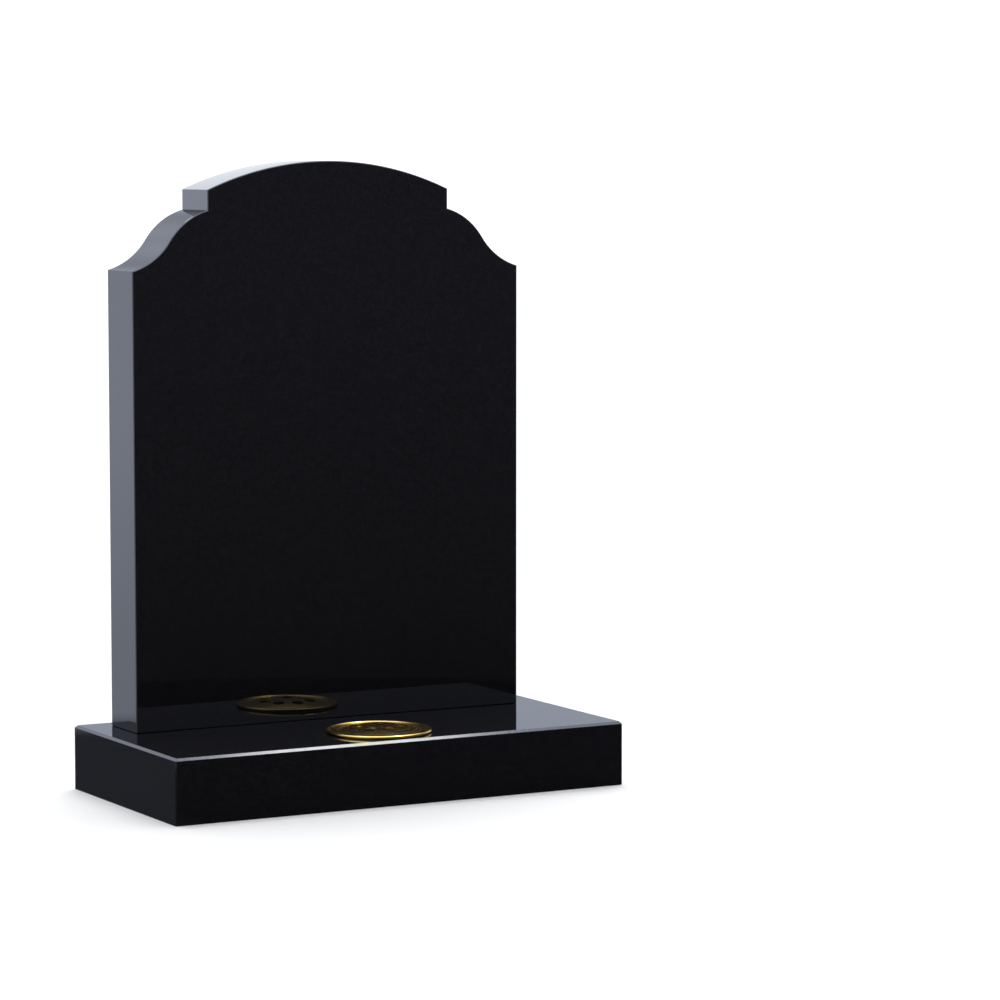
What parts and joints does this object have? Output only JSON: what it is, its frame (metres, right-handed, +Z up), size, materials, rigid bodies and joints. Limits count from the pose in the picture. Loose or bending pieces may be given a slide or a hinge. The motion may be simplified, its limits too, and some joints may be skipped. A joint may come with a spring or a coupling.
{
  "type": "headstone",
  "caption": "Upright polished black granite headstone with ogee shoulders and a cambered top, on a base block with a lidded flower container.",
  "frame": {"origin": "centre of the base's underside, where it rests on its footing", "axes": "+Z up, +X to the right as seen from the front, front face towards -Y"},
  "size_m": [0.61, 0.305, 0.7769],
  "materials": {
    "polished_granite": "mirror-polished black granite, sawn underneath",
    "plain_aluminium": "spun aluminium, satin",
    "gold_anodised": "gold anodised, bright"
  },
  "bodies": {
    "root": {"tablet": "polished_granite", "base": "polished_granite", "flower_container": "plain_aluminium", "flower_lid": "gold_anodised"}
  },
  "joints": []
}
